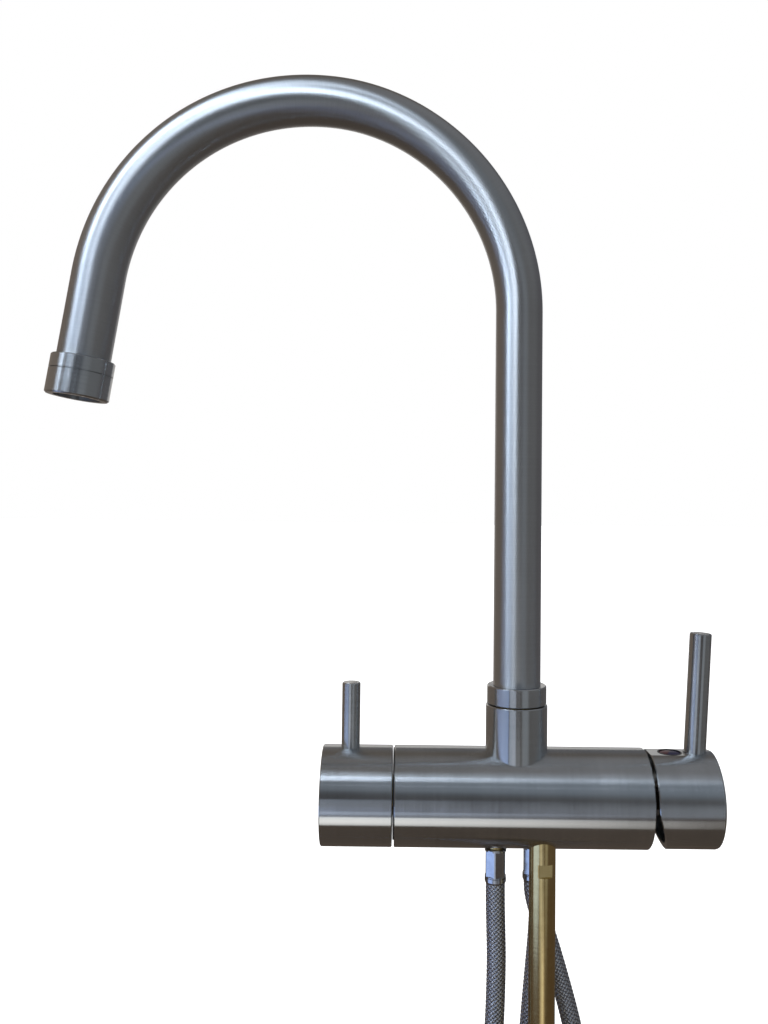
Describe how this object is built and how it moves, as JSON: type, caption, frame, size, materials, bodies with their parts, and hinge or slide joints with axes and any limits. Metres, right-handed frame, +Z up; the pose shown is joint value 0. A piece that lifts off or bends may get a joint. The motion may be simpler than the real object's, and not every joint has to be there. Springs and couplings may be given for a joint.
{
  "type": "three-way kitchen tap",
  "caption": "Satin steel deck tap with a horizontal body, a lever mixer on its right end, a filtered-water lever on its left end and one swivelling swan-neck spout.",
  "frame": {"origin": "middle of the milled deck seat under the body, below the spout's axis", "axes": "+Z up along the spout's column, +X along the body towards the mixer handle, +Y to the back"},
  "size_m": [0.2938, 0.0937, 0.748],
  "materials": {
    "stainless": "satin brushed stainless steel",
    "plated_steel": "smooth drawn steel",
    "brass": "turned brass",
    "plated_brass": "nickel-plated brass",
    "dark_steel": "dark hardened steel",
    "braid": "stainless wire braid over a rubber tube",
    "black_plastic": "black moulded plastic",
    "grey_plastic": "grey moulded plastic",
    "clear_plastic": "drawn polyethylene tube",
    "ceramic": "lapped alumina ceramic",
    "rubber": "black rubber",
    "red_plastic": "red moulded plastic",
    "blue_plastic": "dark blue moulded plastic"
  },
  "bodies": {
    "fixed_body": {"body_shell": "stainless", "neck": "stainless", "filtered_ferrule": "plated_steel", "cold_ferrule": "plated_steel", "hot_ferrule": "plated_steel", "filtered_end": "plated_steel", "cold_end": "plated_steel", "hot_end": "plated_steel", "clamp_plate": "plated_steel", "valve_core": "brass", "cartridge_nut": "brass", "filter_headwork": "brass", "fixing_stud": "brass", "clamp_nut": "brass", "filtered_tail": "brass", "cold_tail": "brass", "hot_tail": "brass", "neck_screw": "dark_steel", "filtered_hose": "braid", "cold_hose": "braid", "hot_hose": "braid", "dust_cover": "black_plastic", "stop_ring": "black_plastic", "cartridge_housing": "grey_plastic", "cartridge_base": "grey_plastic", "cartridge_disc": "ceramic", "filter_fixed_disc": "ceramic", "cartridge_seals": "rubber", "headwork_seal": "rubber", "clamp_rubber": "rubber", "tail_o_rings": "rubber", "inlet_washers": "rubber"},
    "swivel_spout": {"spout_tube": "stainless", "spout_collar": "stainless", "spout_nipple": "brass", "spout_bushes": "grey_plastic", "spout_o_rings": "rubber", "filtered_tube": "clear_plastic", "outlet_collar": "stainless", "aerator_housing": "stainless", "aerator_insert": "black_plastic", "aerator_washer": "rubber"},
    "filter_handle": {"filter_sleeve": "stainless", "filter_lever": "stainless", "filter_spindle": "brass", "filter_moving_disc": "ceramic", "filter_screw": "dark_steel"},
    "turret": {"mixer_turret": "black_plastic", "pivot_pin": "plated_steel"},
    "sliding_disc": {"moving_disc": "ceramic", "disc_carrier": "grey_plastic"},
    "mixer_handle": {"mixer_cap": "stainless", "mixer_lever": "stainless", "mixer_stem": "brass", "mixer_screw": "dark_steel", "index_button": "black_plastic", "index_hot": "red_plastic", "index_cold": "blue_plastic"},
    "filtered_union": {"filtered_nut": "plated_brass"},
    "cold_union": {"cold_nut": "plated_brass"},
    "hot_union": {"hot_nut": "plated_brass"}
  },
  "joints": [
    {"name": "spout_swivel", "type": "hinge", "parent": "fixed_body", "child": "swivel_spout", "pos_m": [0, 0, 0.06], "axis": [0, 0, 1], "continuous": true},
    {"name": "filter_turn", "type": "hinge", "parent": "fixed_body", "child": "filter_handle", "pos_m": [-0.0775, 0, 0.022], "axis": [1, 0, 0], "range_deg": [0, 90]},
    {"name": "mixer_temperature", "type": "hinge", "parent": "fixed_body", "child": "turret", "pos_m": [0.054, 0, 0.022], "axis": [1, 0, 0], "range_deg": [-50, 50]},
    {"name": "mixer_flow", "type": "hinge", "parent": "turret", "child": "mixer_handle", "pos_m": [0.054, 0, 0.022], "axis": [0, 1, 0], "range_deg": [0, 17]},
    {"name": "disc_slide", "type": "slide", "parent": "turret", "child": "sliding_disc", "axis": [0, 0, 1], "range_m": [0, 0.00468]},
    {"name": "filtered_nut_turn", "type": "hinge", "parent": "fixed_body", "child": "filtered_union", "pos_m": [-0.014, -0.004, -0.399], "axis": [0, 0, 1], "continuous": true},
    {"name": "cold_nut_turn", "type": "hinge", "parent": "fixed_body", "child": "cold_union", "pos_m": [0.036, 0.003, -0.397], "axis": [0, 0, 1], "continuous": true},
    {"name": "hot_nut_turn", "type": "hinge", "parent": "fixed_body", "child": "hot_union", "pos_m": [0.006, 0.015, -0.399], "axis": [0, 0, 1], "continuous": true}
  ],
  "couplings": [
    {"joint": "disc_slide", "follows": "mixer_flow", "m_per_rad": 0.015766}
  ]
}
